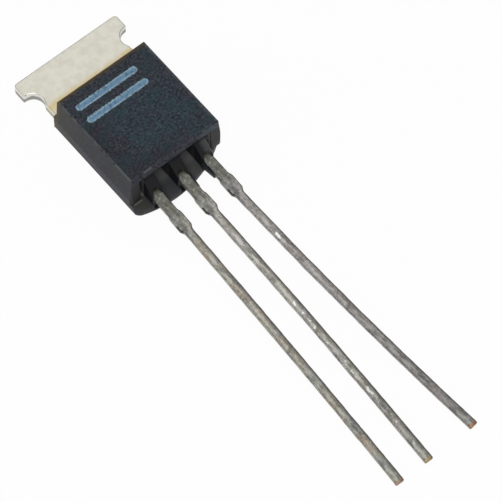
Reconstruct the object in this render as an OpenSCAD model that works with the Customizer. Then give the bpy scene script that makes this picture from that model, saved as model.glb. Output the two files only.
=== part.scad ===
// Three-lead power transistor with a bare T-shaped heat tab, lying on its moulded back.
// Lengths are in millimetres: x across the leads, y towards the tab, z up out of the front face.

/* [Moulded body] */
// Width of the body at the parting line of its mould
body_w = 9.15; // [8.8:0.05:9.8]
// Length of the front face
body_l = 9.3; // [8.8:0.1:10.5]
// Thickness from the back to the front face
body_t = 4.4; // [4.2:0.1:5.2]
// Lean of each side, from the parting line to the front
side_draft = 0.2; // [0.05:0.025:0.3]
// Lean of each side, from the parting line to the back
back_draft = 0.075; // [0.025:0.025:0.15]
// Lean of the lead end, from the front to the parting line
end_draft = 0.18; // [0.05:0.01:0.25]
// How far the shoulder over the tab stands past the front face
shoulder = 0.5; // [0.2:0.05:0.8]
// Height where the shoulder meets the upright part of the top end
shoulder_z = 2.4; // [2:0.1:3]
// Bevel along the edges of the front face
edge_c = 0.14; // [0.05:0.01:0.3]
// Radius of the body's four upright corners
corner_r = 0.3; // [0.2:0.05:0.7]

/* [Lead end] */
// Depth of the recess that the leads come out of
recess_d = 1.1; // [0.6:0.1:1.4]
// Thickness of the front wall over the recess
lintel_t = 0.8; // [0.5:0.05:1.2]
// Width of each side wall of the recess
cheek_w = 0.92; // [0.6:0.01:1.05]
// Thickness of the rounded lip below the leads
lip_t = 0.85; // [0.6:0.05:1.1]
// How far the lip stands out of the end
lip_l = 1.46; // [0.8:0.02:1.8]
// Radius of the lip's outline
lip_r = 9.6; // [8:0.1:12]
// Middle of the lip's outline, off the middle of the body
lip_shift = -1; // [-1.2:0.1:-0.4]
// Radius where the lip turns into the side of the body
lip_corner_r = 0.8; // [0.3:0.05:0.9]
// Width of the slot under each lead
slot_w = 1; // [0.96:0.02:1.4]
// Thickness left under each slot
slot_floor = 0.3; // [0.2:0.05:0.4]
// Width of the collar that each lead leaves
collar_w = 1.06; // [1:0.02:1.16]
// Height of the collar's top edge at the recess
collar_top = 3; // [2.6:0.1:3.1]
// Height of the collar's face where the lead leaves it
collar_h = 2.15; // [2.1:0.05:2.4]
// How far the collar stands out of the end
collar_l = 1.05; // [0.8:0.05:1.2]
// Radius of the round mouth in the collar's end, which bares the top of the lead
mouth_r = 0.4; // [0.3:0.02:0.44]
// Width of the moulding flash on the edge of a lead
fin_w = 0.5; // [0.3:0.05:0.6]
// Width of the flash beside the lead, where it runs out
fin_tip_w = 0.08; // [0.04:0.02:0.14]
// Height of the flash, down from the middle of the lead
fin_h = 0.5; // [0.35:0.05:0.8]
// Length of the flash along the lead
fin_l = 1.4; // [0.8:0.1:1.9]

/* [Tab] */
// Width across the ears
tab_w = 10.4; // [9.8:0.1:11.5]
// Thickness of the tab and of the header inside the body
tab_t = 1; // [0.8:0.05:1.1]
// Height of the tab's back above the back of the body
tab_z = 0.45; // [0.35:0.05:0.5]
// Reach of the tab past the front face
tab_l = 4.75; // [4.3:0.05:8]
// Length of each ear's straight end
ear_l = 1.4; // [1:0.1:2]
// Radius of the ears' corners
ear_r = 0.35; // [0.1:0.05:0.6]
// Width of the neck between the notches
neck_w = 8.5; // [8:0.1:8.6]
// Radius of the notches
notch_r = 1; // [0.8:0.05:1.2]
// How far a notch's middle lies inside the end of the ear
notch_in = 0.15; // [0:0.05:0.3]
// Width of the header that carries the chip
header_w = 6.8; // [6.2:0.1:7]
// Distance from the bonding posts to the header
header_gap = 0.6; // [0.4:0.05:0.9]
// Length that the collector lead lies on the header
header_join = 0.8; // [0.5:0.1:1.2]

/* [Leads] */
// Distance between the middles of neighbouring leads
lead_pitch = 2.54; // [2.4:0.02:2.6]
// Middle lead, off the middle of the body
lead_shift = -0.04; // [-0.15:0.01:-0.02]
// Thickness of the leads
lead_t = 0.5; // [0.4:0.05:0.6]
// Width of a lead between the body and the swelling
root_w = 0.92; // [0.8:0.02:0.94]
// Width of the swelling where the leads were cut apart
dam_w = 1.12; // [1:0.02:1.3]
// Length of the swelling
dam_l = 1.3; // [0.8:0.1:1.6]
// Distance from the end of the body to the swelling
dam_at = 3.25; // [2.6:0.05:4]
// Length of the sloping part on each side of the swelling
dam_slope = 0.35; // [0.2:0.05:0.5]
// Width of the lead past the swelling
wire_w = 0.76; // [0.55:0.01:0.8]
// Softness of the lead's edges past the swelling
wire_r = 0.14; // [0.05:0.01:0.18]
// Length of the leads from the end of the body
lead_l = 31.1; // [20:0.1:32]
// Length of the bonding posts inside the body
post_l = 1.25; // [1:0.05:1.5]
// Height of the lead tips above the table
tip_gap = 0.02; // [0:0.01:0.1]
// Sideways lean of the emitter lead, at its tip
emitter_lean = -0.5; // [-0.8:0.02:-0.1]
// Sideways bow of the emitter lead, at its tip
emitter_bow = -0.33; // [-1.5:0.01:-0.1]
// Sideways bow of the base lead, at its tip
base_bow = -0.5; // [-1.5:0.01:-0.1]
// Sideways lean of the collector lead past the swelling, at its tip
collector_set = 0.54; // [0.1:0.02:0.9]
// Sideways bow of the collector lead, at its tip
collector_bow = 0.94; // [0.1:0.02:1.8]

/* [Chip] */
// Width of the square chip
die_w = 2; // [1.6:0.1:2.6]
// Distance from the header's edge to the chip
die_margin = 0.35; // [0.2:0.05:0.6]
// Thickness of the solder under the chip
solder_t = 0.05; // [0.03:0.01:0.1]
// Diameter of the bond wires
bond_d = 0.2; // [0.1:0.05:0.3]
// Height of the bond wires' loops
bond_loop = 0.9; // [0.7:0.05:1.1]

/* [Hidden] */
// Facets of every round
$fn = 64;
// How far a cut runs past the face that it opens
over = 0.3;
// How far one shape of a piece runs into the next
joint = 0.05;
// Plane of the lead end, and edge of the front face at the tab
end_y = -body_l / 2;
top_y = body_l / 2;
shoulder_y = top_y + shoulder;
// Half widths of the body at the parting line, at the back and at the front
part_x = body_w / 2;
back_x = part_x - back_draft;
front_x = part_x - side_draft;
// Lead end below the parting line
foot_y = end_y - end_draft;
// Recess behind the lead end
recess_y = end_y + recess_d;
recess_x = back_x - cheek_w;
recess_top = body_t - lintel_t;
// Outline of the lip: a long arc, and a corner circle that touches it from inside
lip_end_y = end_y - lip_l;
lip_y = lip_end_y + lip_r;
lip_corner_x = lip_corner_r - part_x;
lip_reach = lip_r - lip_corner_r;
lip_corner_y = lip_y - sqrt(lip_reach * lip_reach - pow(lip_corner_x - lip_shift, 2));
lip_touch_x = lip_shift + (lip_corner_x - lip_shift) * lip_r / lip_reach;
// Tab
tab_top = tab_z + tab_t;
tab_end = top_y + tab_l;
notch_y = tab_end - ear_l - sqrt(notch_r * notch_r - notch_in * notch_in);
notch_x = tab_w / 2 - notch_in;
header_y = recess_y + post_l + header_gap;
// Leads, level inside the body and sloping down to the table outside it
emitter_x = lead_shift - lead_pitch;
base_x = lead_shift;
collector_x = lead_shift + lead_pitch;
lead_xs = [emitter_x, base_x, collector_x];
lead_z = tab_top - joint + lead_t / 2;
lead_top = lead_z + lead_t / 2;
turn_share = 0.5;
turn_y = end_y - collar_l * turn_share;
slope_l = lead_l - collar_l * turn_share;
droop = asin((lead_z - lead_t / 2 - tip_gap) / slope_l);
dam_start = dam_at - collar_l * turn_share;
dam_end = dam_start + dam_l;
wire_start = dam_end + dam_slope;
bow_l = slope_l - wire_start + joint;
// Chip, level with the bonding posts so that both ends of a bond wire stand on one plane
die_z = tab_top + solder_t;
die_t = lead_top - die_z;
die_y = header_y + die_w / 2 + die_margin;
// Feet of the bond wires on the posts and on the chip
foot_share = 0.6;
post_foot_y = recess_y + post_l * foot_share;
base_pad_share = 0.2;
emitter_pad_share = -0.25;
pad_share = 0.4;
pad_y = die_y - die_w / 2 * pad_share;

// Piece to draw

// Flat rounded rectangle between two corners
module soft_rect(x0, y0, x1, y1, r) {
    translate([x0 + r, y0]) square([x1 - x0 - 2 * r, y1 - y0]);
    translate([x0, y0 + r]) square([x1 - x0, y1 - y0 - 2 * r]);
    for (x = [x0 + r, x1 - r], y = [y0 + r, y1 - r]) translate([x, y]) circle(r);
}

// Box between two corners
module span(x0, y0, z0, x1, y1, z1) {
    translate([x0, y0, z0]) cube([x1 - x0, y1 - y0, z1 - z0]);
}

// Profile in y and z, drawn out across a width that is centred on x
module across(w) {
    translate([-w / 2, 0, 0]) rotate([90, 0, 90]) linear_extrude(w) children();
}

// Side view of the body above the lip: leaning lead end, shoulder over the tab, bevelled front edges
module side_view() {
    polygon([[foot_y, lip_t], [shoulder_y, lip_t], [shoulder_y, tab_top], [top_y, shoulder_z],
             [top_y, body_t - edge_c], [top_y - edge_c, body_t],
             [end_y + edge_c, body_t], [end_y, body_t - edge_c], [foot_y, tab_top]]);
}

// End view of the body: sides lean in from the parting line, which is level with the tab's face
module end_view() {
    polygon([[-back_x, 0], [back_x, 0], [part_x, tab_top],
             [front_x, body_t - edge_c], [front_x - edge_c, body_t],
             [edge_c - front_x, body_t], [-front_x, body_t - edge_c], [-part_x, tab_top]]);
}

// The two leaning sides, from past the lip to past the shoulder
module sides() {
    translate([0, shoulder_y + over, 0]) rotate([90, 0, 0])
        linear_extrude(shoulder_y - lip_end_y + 2 * over) end_view();
}

// Outline of the back: a long arc at the lead end runs out on the right and turns a corner on the left
module back_outline() {
    intersection() {
        soft_rect(-part_x, lip_end_y - corner_r, part_x, shoulder_y, corner_r);
        union() {
            intersection() {
                translate([lip_shift, lip_y]) circle(lip_r, $fn = 4 * $fn);
                translate([lip_touch_x, lip_end_y - over])
                    square([part_x - lip_touch_x, shoulder_y - lip_end_y + 2 * over]);
            }
            translate([lip_corner_x, lip_corner_y]) circle(lip_corner_r);
            translate([-part_x, lip_corner_y])
                square([2 * lip_corner_r, shoulder_y - lip_corner_y + over]);
        }
    }
}

// Solid block of the body before the recess and the pieces inside are taken out of it
module block() {
    intersection() {
        across(body_w + over) side_view();
        sides();
        linear_extrude(body_t + over) soft_rect(-part_x, foot_y, part_x, shoulder_y, corner_r);
    }
    intersection() {
        sides();
        linear_extrude(lip_t) back_outline();
    }
}

// Flash that crept out of a collar along one edge of its lead
module fin(x, side) {
    translate([x, end_y - collar_l, lead_z - fin_h]) mirror([side < 0 ? 1 : 0, 0, 0])
        linear_extrude(fin_h) polygon([
            [-fin_w / 2, joint], [-fin_w / 2, -fin_l], [fin_tip_w, -fin_l], [fin_w / 2, joint]]);
}

// Slot under one lead, through the lip and the floor of the recess
module slot(x) {
    span(x - slot_w / 2, lip_end_y - over, slot_floor, x + slot_w / 2, recess_y, lip_t + over);
}

// Collar that one lead leaves: its top slopes down to a round mouth over the lead
module collar(x) {
    translate([x, 0, 0]) difference() {
        across(collar_w) polygon([
            [recess_y + joint, slot_floor - joint], [recess_y + joint, collar_top], [end_y, collar_top],
            [end_y - collar_l, collar_h], [end_y - collar_l, slot_floor - joint]]);
        translate([0, end_y - collar_l, lead_z]) cylinder(h = collar_top, r = mouth_r);
    }
}

// Whole moulding, still solid where the metal and the chip sit
module moulding() {
    difference() {
        block();
        span(-recess_x, foot_y - over, lip_t, recess_x, recess_y, recess_top);
        for (x = lead_xs) slot(x);
    }
    for (x = lead_xs) collar(x);
    fin(base_x + root_w / 2, 1);
    fin(collector_x - root_w / 2, -1);
}

// Section of a lead past the swelling, with soft edges
module wire_section() {
    soft_rect(-wire_w / 2, -lead_t / 2, wire_w / 2, lead_t / 2, wire_r);
}

// Lead past the swelling: one long bow to the side, from the swelling to the tip
module bowed_wire(bow) {
    sag = abs(bow);
    turn = 2 * atan(sag / bow_l);
    ring_r = (bow_l * bow_l + sag * sag) / (2 * sag);
    mirror([bow < 0 ? 1 : 0, 0, 0]) translate([ring_r, 0, 0]) rotate([0, 0, 180])
        rotate_extrude(angle = turn, $fn = 4 * $fn) translate([ring_r, 0]) wire_section();
}

// Outline of the stamped part of a lead, from its turn to the end of the swelling
module stamped_outline() {
    polygon([[-root_w / 2, 0], [-root_w / 2, dam_slope - dam_start], [-dam_w / 2, -dam_start],
             [-dam_w / 2, -dam_end], [-wire_w / 2, -wire_start],
             [wire_w / 2, -wire_start], [dam_w / 2, -dam_end], [dam_w / 2, -dam_start],
             [root_w / 2, dam_slope - dam_start], [root_w / 2, 0]]);
}

// One lead: level in the body up to in_y, turned down in its collar, then sloping to the table
module lead(x, in_y, lean, set, bow) {
    span(x - root_w / 2, turn_y, lead_z - lead_t / 2, x + root_w / 2, in_y, lead_top);
    translate([x, turn_y, lead_z]) {
        rotate([0, 90, 0]) translate([0, 0, -root_w / 2]) cylinder(h = root_w, d = lead_t);
        rotate([droop, 0, atan(lean / slope_l)]) {
            translate([0, 0, -lead_t / 2]) linear_extrude(lead_t) stamped_outline();
            translate([0, joint - wire_start, 0]) rotate([0, 0, atan(set / bow_l)]) bowed_wire(bow);
        }
    }
}

// Flat outline of the tab: ears, neck and round notches, then the header inside the body
module tab_outline() {
    difference() {
        union() {
            soft_rect(-tab_w / 2, notch_y - notch_r, tab_w / 2, tab_end, ear_r);
            translate([-neck_w / 2, top_y]) square([neck_w, tab_end - top_y - ear_l]);
        }
        for (s = [-1, 1]) {
            translate([s * notch_x, notch_y]) circle(notch_r);
            translate([s > 0 ? neck_w / 2 : -tab_w / 2 - over, notch_y - notch_r - over])
                square([tab_w / 2 - neck_w / 2 + over, notch_r + over]);
        }
    }
    translate([-header_w / 2, header_y]) square([header_w, top_y - header_y + joint]);
}

// Bond wire between two feet on the plane of the chip's top: an arc of a ring above that plane
module bond(x0, y0, x1, y1) {
    dx = x1 - x0;
    dy = y1 - y0;
    half = sqrt(dx * dx + dy * dy) / 2;
    ring_r = (half * half + bond_loop * bond_loop) / (2 * bond_loop);
    intersection() {
        translate([(x0 + x1) / 2, (y0 + y1) / 2, lead_top + bond_loop - ring_r])
            rotate([90, 0, atan2(dy, dx)])
                rotate_extrude() translate([ring_r, 0]) circle(d = bond_d, $fn = 24);
        span(-back_x, end_y, lead_top, back_x, top_y, body_t);
    }
}

module collector_frame() {
    color([0.82, 0.80, 0.74]) {
        translate([0, 0, tab_z]) linear_extrude(tab_t) tab_outline();
        lead(collector_x, header_y + header_join, 0, collector_set, collector_bow);
    }
}

module base_lead() {
    color([0.62, 0.62, 0.58]) lead(base_x, recess_y + post_l, 0, 0, base_bow);
}

module emitter_lead() {
    color([0.62, 0.62, 0.58]) lead(emitter_x, recess_y + post_l, emitter_lean, 0, emitter_bow);
}

module chip() {
    color([0.35, 0.36, 0.40])
        span(-die_w / 2, die_y - die_w / 2, die_z, die_w / 2, die_y + die_w / 2, die_z + die_t);
}

module die_solder() {
    color([0.70, 0.70, 0.68])
        span(-die_w / 2, die_y - die_w / 2, tab_top, die_w / 2, die_y + die_w / 2, die_z);
}

module base_bond_wire() {
    color([0.85, 0.85, 0.86]) bond(base_x, post_foot_y, die_w * base_pad_share, pad_y);
}

module emitter_bond_wire() {
    color([0.85, 0.85, 0.86]) bond(emitter_x, post_foot_y, die_w * emitter_pad_share, pad_y);
}

module epoxy_body() {
    color([0.20, 0.21, 0.24]) difference() {
        moulding();
        collector_frame();
        base_lead();
        emitter_lead();
        chip();
        die_solder();
        base_bond_wire();
        emitter_bond_wire();
    }
}

epoxy_body();
collector_frame();
base_lead();
emitter_lead();
chip();
die_solder();
base_bond_wire();
emitter_bond_wire();
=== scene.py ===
"""Studio portrait of a small power transistor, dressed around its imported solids.

The solids keep their shapes. This script rounds their edges, gives every node a
procedural finish, and sets up the floor, lamps and camera of the portrait.
Lengths are in metres, in the frame of the solids: X runs across the leads,
+Y towards the tab and +Z out of the moulding's front face. The finishes work in
millimetres, because their patterns are that small.
"""

import logging
import math
from abc import ABC, abstractmethod
from collections.abc import Mapping, Sequence
from dataclasses import dataclass, field
from enum import Enum
from functools import partial, reduce
from typing import Any, NamedTuple

import bmesh
import bpy
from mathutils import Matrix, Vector


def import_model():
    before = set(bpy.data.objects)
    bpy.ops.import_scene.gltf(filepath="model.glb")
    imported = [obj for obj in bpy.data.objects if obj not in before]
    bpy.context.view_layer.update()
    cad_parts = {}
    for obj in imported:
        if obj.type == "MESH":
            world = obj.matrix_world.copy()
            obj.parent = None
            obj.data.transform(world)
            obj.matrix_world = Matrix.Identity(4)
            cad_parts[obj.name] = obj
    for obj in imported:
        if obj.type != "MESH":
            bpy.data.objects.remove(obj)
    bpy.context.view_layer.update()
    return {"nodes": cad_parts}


Triple = tuple[float, float, float]
Colour = Triple
Range = tuple[float, float]
Socket = bpy.types.NodeSocket

LOG = logging.getLogger("transistor")
MM = 0.001
WHITE: Colour = (1.0, 1.0, 1.0)
NOISE_MIDDLE = 0.5


class Node(Enum):
    """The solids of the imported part."""

    BODY = "epoxy_body"
    FRAME = "collector_frame"
    BASE = "base_lead"
    EMITTER = "emitter_lead"
    CHIP = "chip"
    DIE_SOLDER = "die_solder"
    BASE_WIRE = "base_bond_wire"
    EMITTER_WIRE = "emitter_bond_wire"


class Axis(Enum):
    """Which coordinate of a point a mask follows."""

    X = "X"
    Y = "Y"
    Z = "Z"


class Graph:
    """Adds and links nodes in one node tree.

    A Mix node has a pair of inputs and an output for each kind of value. Only their
    places tell them apart, because they share their names.
    """

    MIX_NUMBERS = (2, 3)
    MIXED_NUMBER = 0
    MIX_COLOURS = (6, 7)
    MIXED_COLOUR = 2

    def __init__(self, tree: bpy.types.NodeTree) -> None:
        """Starts with an empty tree."""
        self.tree = tree
        tree.nodes.clear()

    def add(self, kind: str, inputs: Mapping[Any, Any] | None = None, **settings: Any) -> bpy.types.Node:
        """Adds one node.

        Args:
            kind: The node's Blender type name.
            inputs: Values or sockets for its inputs, by name or index.
            **settings: Properties to set on the node first.

        Returns:
            The new node.
        """
        node = self.tree.nodes.new(kind)
        for name, value in settings.items():
            setattr(node, name, value)
        for key, value in (inputs or {}).items():
            if isinstance(value, Socket):
                self.tree.links.new(value, node.inputs[key])
            else:
                node.inputs[key].default_value = value
        return node

    def sum_of(self, kind: str, first: Any, second: Any = 0.0, clamp: bool = False) -> Socket:
        """Does one sum on two values.

        Args:
            kind: The Math node's operation.
            first: The first value or socket.
            second: The second value or socket.
            clamp: Whether the result is held between 0 and 1.

        Returns:
            The result.
        """
        node = self.add("ShaderNodeMath", {0: first, 1: second}, operation=kind, use_clamp=clamp)
        return node.outputs[0]

    def times(self, *factors: Any) -> Socket:
        """Multiplies any number of values or sockets."""
        return reduce(partial(self.sum_of, "MULTIPLY"), factors)

    def greatest(self, *values: Any) -> Socket:
        """Gives the greatest of any number of values or sockets."""
        return reduce(partial(self.sum_of, "MAXIMUM"), values)

    def vector(self, kind: str, first: Any, second: Any) -> Socket:
        """Does one sum on two vectors or colours."""
        node = self.add("ShaderNodeVectorMath", {0: first, 1: second}, operation=kind)
        return node.outputs["Vector"]

    def scale(self, vector: Any, factor: Any) -> Socket:
        """Multiplies a vector or colour by one number."""
        inputs = {"Vector": vector, "Scale": factor}
        return self.add("ShaderNodeVectorMath", inputs, operation="SCALE").outputs["Vector"]

    def mix(self, factor: Any, first: Any, second: Any) -> Socket:
        """Mixes two colours.

        Args:
            factor: The share of the second colour.
            first: A colour or socket.
            second: A colour or socket.

        Returns:
            The mixed colour.
        """
        ends = [end if isinstance(end, Socket) else (*end, 1.0) for end in (first, second)]
        inputs = {0: factor, **dict(zip(self.MIX_COLOURS, ends))}
        return self.add("ShaderNodeMix", inputs, data_type="RGBA").outputs[self.MIXED_COLOUR]

    def blend(self, factor: Any, first: Any, second: Any) -> Socket:
        """Mixes two numbers by a factor."""
        inputs = {0: factor, **dict(zip(self.MIX_NUMBERS, (first, second)))}
        return self.add("ShaderNodeMix", inputs, data_type="FLOAT").outputs[self.MIXED_NUMBER]

    def ease(self, value: Any, low: Any, high: Any) -> Socket:
        """Rises smoothly from 0 at low to 1 at high."""
        inputs = {"Value": value, "From Min": low, "From Max": high}
        return self.add("ShaderNodeMapRange", inputs, interpolation_type="SMOOTHSTEP").outputs[0]

    def noise(self, point: Any, scale: Any, detail: float, roughness: float = 0.55) -> Socket:
        """Gives a three-dimensional noise between 0 and 1."""
        inputs = {"Vector": point, "Scale": scale, "Detail": detail, "Roughness": roughness}
        return self.add("ShaderNodeTexNoise", inputs).outputs[0]

    def along(self, vector: Socket, axis: Axis) -> Socket:
        """Gives one coordinate of a vector."""
        return self.add("ShaderNodeSeparateXYZ", {0: vector}).outputs[axis.value]

    def effect(self, group: bpy.types.NodeTree, inputs: Mapping[str, Any]) -> Socket:
        """Places a shared group and gives its one output."""
        return self.add("ShaderNodeGroup", inputs, node_tree=group).outputs[0]


class EffectGroup:
    """A shader node group in the making, with named inputs and one number as its output."""

    def __init__(self, name: str, vectors: Sequence[str], numbers: Sequence[str], output: str) -> None:
        """Starts the group.

        Args:
            name: The group's name.
            vectors: The names of its vector inputs.
            numbers: The names of its number inputs.
            output: The name of its output.
        """
        self.tree = bpy.data.node_groups.new(name, "ShaderNodeTree")
        self.graph = Graph(self.tree)
        kinds = {label: "NodeSocketVector" for label in vectors}
        kinds |= {label: "NodeSocketFloat" for label in numbers}
        for label, kind in kinds.items():
            self.tree.interface.new_socket(name=label, in_out="INPUT", socket_type=kind)
        self.tree.interface.new_socket(name=output, in_out="OUTPUT", socket_type="NodeSocketFloat")
        entry = self.graph.add("NodeGroupInput")
        self.inputs = {label: entry.outputs[label] for label in kinds}

    def close(self, result: Socket) -> bpy.types.NodeTree:
        """Links the group's output and gives the finished group."""
        self.graph.add("NodeGroupOutput", {0: result})
        return self.tree


class Effects:
    """The shader node groups that the finishes share, each built once."""

    SPECK_CORE = 0.4
    TOOTH_FINENESS = 6.0

    def __init__(self) -> None:
        """Builds every group."""
        self.blotches = self._blotches()
        self.specks = self._specks()
        self.band = self._band()
        self.relief = self._relief()
        self.stripe = self._stripe()

    def _blotches(self) -> bpy.types.NodeTree:
        """Builds soft-edged patches: the part of a noise that lies above a rising threshold.

        Returns:
            The group, which masks the patches.
        """
        group = EffectGroup("Blotches", ("Point",), ("Scale", "Low", "High"), "Mask")
        graph, entry = group.graph, group.inputs
        cloud = graph.noise(entry["Point"], entry["Scale"], detail=4.0)
        return group.close(graph.ease(cloud, entry["Low"], entry["High"]))

    def _specks(self) -> bpy.types.NodeTree:
        """Builds small round specks, in a given share of a scattered set of cells.

        Returns:
            The group, which masks the specks.
        """
        group = EffectGroup("Specks", ("Point",), ("Scale", "Radius", "Share"), "Mask")
        graph, entry = group.graph, group.inputs
        cells = graph.add("ShaderNodeTexVoronoi", {"Vector": entry["Point"], "Scale": entry["Scale"]})
        core = graph.times(entry["Radius"], self.SPECK_CORE)
        disc = graph.ease(cells.outputs["Distance"], entry["Radius"], core)
        draw = graph.along(cells.outputs["Color"], Axis.X)
        chosen = graph.sum_of("LESS_THAN", draw, entry["Share"])
        return group.close(graph.times(disc, chosen))

    def _band(self) -> bpy.types.NodeTree:
        """Builds a stretch between two limits of a value, with feathered ends.

        Returns:
            The group, which masks the stretch.
        """
        group = EffectGroup("Band", (), ("Value", "From", "To", "Feather"), "Mask")
        graph, entry = group.graph, group.inputs
        sides = []
        for limit in ("From", "To"):
            low = graph.sum_of("SUBTRACT", entry[limit], entry["Feather"])
            high = graph.sum_of("ADD", entry[limit], entry["Feather"])
            sides.append(graph.ease(entry["Value"], low, high))
        return group.close(graph.sum_of("SUBTRACT", *sides, clamp=True))

    def _relief(self) -> bpy.types.NodeTree:
        """Builds an uneven skin: wide swells with a finer tooth on them.

        Returns:
            The group, which gives the skin's height.
        """
        group = EffectGroup("Relief", ("Point",), ("Scale", "Swell", "Tooth"), "Height")
        graph, entry = group.graph, group.inputs
        swell = graph.times(graph.noise(entry["Point"], entry["Scale"], detail=2.0), entry["Swell"])
        fine = graph.times(entry["Scale"], self.TOOTH_FINENESS)
        tooth = graph.times(graph.noise(entry["Point"], fine, detail=3.0), entry["Tooth"])
        return group.close(graph.sum_of("ADD", swell, tooth))

    def _stripe(self) -> bpy.types.NodeTree:
        """Builds a round-ended stripe that lies along X on the front face.

        Returns:
            The group, which gives the depth inside the stripe, negative outside it.
        """
        group = EffectGroup("Stripe", ("Point", "Centre"), ("Half length", "Half width"), "Depth")
        graph, entry = group.graph, group.inputs
        offset = graph.vector("SUBTRACT", entry["Point"], entry["Centre"])
        reach = graph.sum_of("ABSOLUTE", graph.along(offset, Axis.X))
        straight = graph.sum_of("SUBTRACT", entry["Half length"], entry["Half width"])
        past = graph.greatest(graph.sum_of("SUBTRACT", reach, straight), 0.0)
        across = graph.along(offset, Axis.Y)
        square = graph.sum_of("ADD", graph.times(past, past), graph.times(across, across))
        distance = graph.sum_of("SQRT", square)
        return group.close(graph.sum_of("SUBTRACT", entry["Half width"], distance))


class Surface(NamedTuple):
    """What the layers of a finish share: the graph, the shared groups and the point in millimetres."""

    graph: Graph
    effects: Effects
    point: Socket

    def moved(self, point: Socket) -> "Surface":
        """Gives the same surface with another point for its patterns."""
        return self._replace(point=point)

    def at(self, axis: Axis) -> Socket:
        """Gives one coordinate of the point."""
        return self.graph.along(self.point, axis)

    def facing(self, axis: Axis) -> Socket:
        """Gives how far the surface faces along an axis, from -1 to 1."""
        normal = self.graph.add("ShaderNodeTexCoord").outputs["Normal"]
        return self.graph.along(normal, axis)

    def band(self, value: Socket, span: Range, feather: float) -> Socket:
        """Gives 1 where a value lies in a range and 0 elsewhere, with feathered ends."""
        inputs = {"Value": value, "From": span[0], "To": span[1], "Feather": feather}
        return self.graph.effect(self.effects.band, inputs)

    def wander(self, scale: float, drift: float) -> Socket:
        """Gives a noise of so many cells to a millimetre, whose whole swing round zero is the drift."""
        noise = self.graph.noise(self.point, scale, detail=3.0)
        return self.graph.times(self.graph.sum_of("SUBTRACT", noise, NOISE_MIDDLE), drift)

    def ragged(self, axis: Axis, scale: float, drift: float) -> Socket:
        """Gives one coordinate with a noise on it, for a limit that wanders."""
        return self.graph.sum_of("ADD", self.at(axis), self.wander(scale, drift))


@dataclass(frozen=True)
class Patches:
    """Soft-edged patches: cells to a millimetre, the noise levels they rise between, and a shift."""

    scale: float
    low: float
    high: float
    shift: Triple = (0.0, 0.0, 0.0)

    def mask(self, surface: Surface) -> Socket:
        """Masks the patches.

        Args:
            surface: The surface that carries them.

        Returns:
            The mask.
        """
        place = surface.graph.vector("ADD", surface.point, self.shift)
        inputs = {"Point": place, "Scale": self.scale, "Low": self.low, "High": self.high}
        return surface.graph.effect(surface.effects.blotches, inputs)


@dataclass(frozen=True)
class Specks:
    """Round specks: cells to a millimetre, the radius as a share of a cell, and the share of cells used."""

    scale: float
    radius: float
    share: float

    def mask(self, surface: Surface) -> Socket:
        """Masks the specks.

        Args:
            surface: The surface that carries them.

        Returns:
            The mask.
        """
        inputs = {"Point": surface.point, "Scale": self.scale}
        inputs |= {"Radius": self.radius, "Share": self.share}
        return surface.graph.effect(surface.effects.specks, inputs)


@dataclass(frozen=True)
class Relief:
    """An uneven skin: swells to a millimetre, their height and the height of the finer tooth."""

    scale: float
    swell: float
    tooth: float

    def height(self, surface: Surface) -> Socket:
        """Gives the skin's height.

        Args:
            surface: The surface that carries it.

        Returns:
            The height in millimetres.
        """
        inputs = {"Point": surface.point, "Scale": self.scale}
        inputs |= {"Swell": self.swell, "Tooth": self.tooth}
        return surface.graph.effect(surface.effects.relief, inputs)


@dataclass(frozen=True)
class Zone:
    """A stretch of the surface between limits of its coordinates, in millimetres."""

    feather: float
    x: Range | None = None
    y: Range | None = None
    z: Range | None = None

    def mask(self, surface: Surface) -> Socket:
        """Masks the stretch, with feathered ends.

        Args:
            surface: The surface.

        Returns:
            The mask.
        """
        spans = {Axis.X: self.x, Axis.Y: self.y, Axis.Z: self.z}
        masks = [surface.band(surface.at(axis), span, self.feather) for axis, span in spans.items() if span]
        return surface.graph.times(*masks)


@dataclass(frozen=True)
class Tint:
    """Patches of one colour that lie over another."""

    colour: Colour
    patches: Patches
    share: float

    def over(self, surface: Surface, below: Socket, strength: Any = 1.0) -> Socket:
        """Lays the patches over a colour.

        Args:
            surface: The surface that carries them.
            below: The colour under them.
            strength: A further share, where they thin out.

        Returns:
            The colour with the patches.
        """
        share = surface.graph.times(self.patches.mask(surface), self.share, strength)
        return surface.graph.mix(share, below, self.colour)


class Layers(NamedTuple):
    """What a finish hands to its shader: all of it varies over the surface.

    Heights are in millimetres.
    """

    colour: Socket
    roughness: Socket
    height: Socket


class Finish(ABC):
    """A surface finish that makes its own material."""

    name: str
    metallic: float
    specular: float

    @abstractmethod
    def layers(self, surface: Surface) -> Layers:
        """Builds the finish's patterns.

        Args:
            surface: The surface that carries them.

        Returns:
            The sockets that the shader reads.
        """

    def material(self, effects: Effects) -> bpy.types.Material:
        """Makes the material.

        Args:
            effects: The shared groups.

        Returns:
            The finished material.
        """
        material = bpy.data.materials.new(self.name)
        material.use_nodes = True
        graph = Graph(material.node_tree)
        place = graph.add("ShaderNodeTexCoord").outputs["Object"]
        layers = self.layers(Surface(graph, effects, graph.scale(place, 1.0 / MM)))
        bump = graph.add("ShaderNodeBump", {"Height": layers.height, "Distance": MM, "Strength": 1.0})
        inputs = {
            "Base Color": layers.colour,
            "Roughness": layers.roughness,
            "Normal": bump.outputs[0],
            "Metallic": self.metallic,
            "Specular IOR Level": self.specular,
        }
        shader = graph.add("ShaderNodeBsdfPrincipled", inputs)
        graph.add("ShaderNodeOutputMaterial", {"Surface": shader.outputs[0]})
        return material


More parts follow.
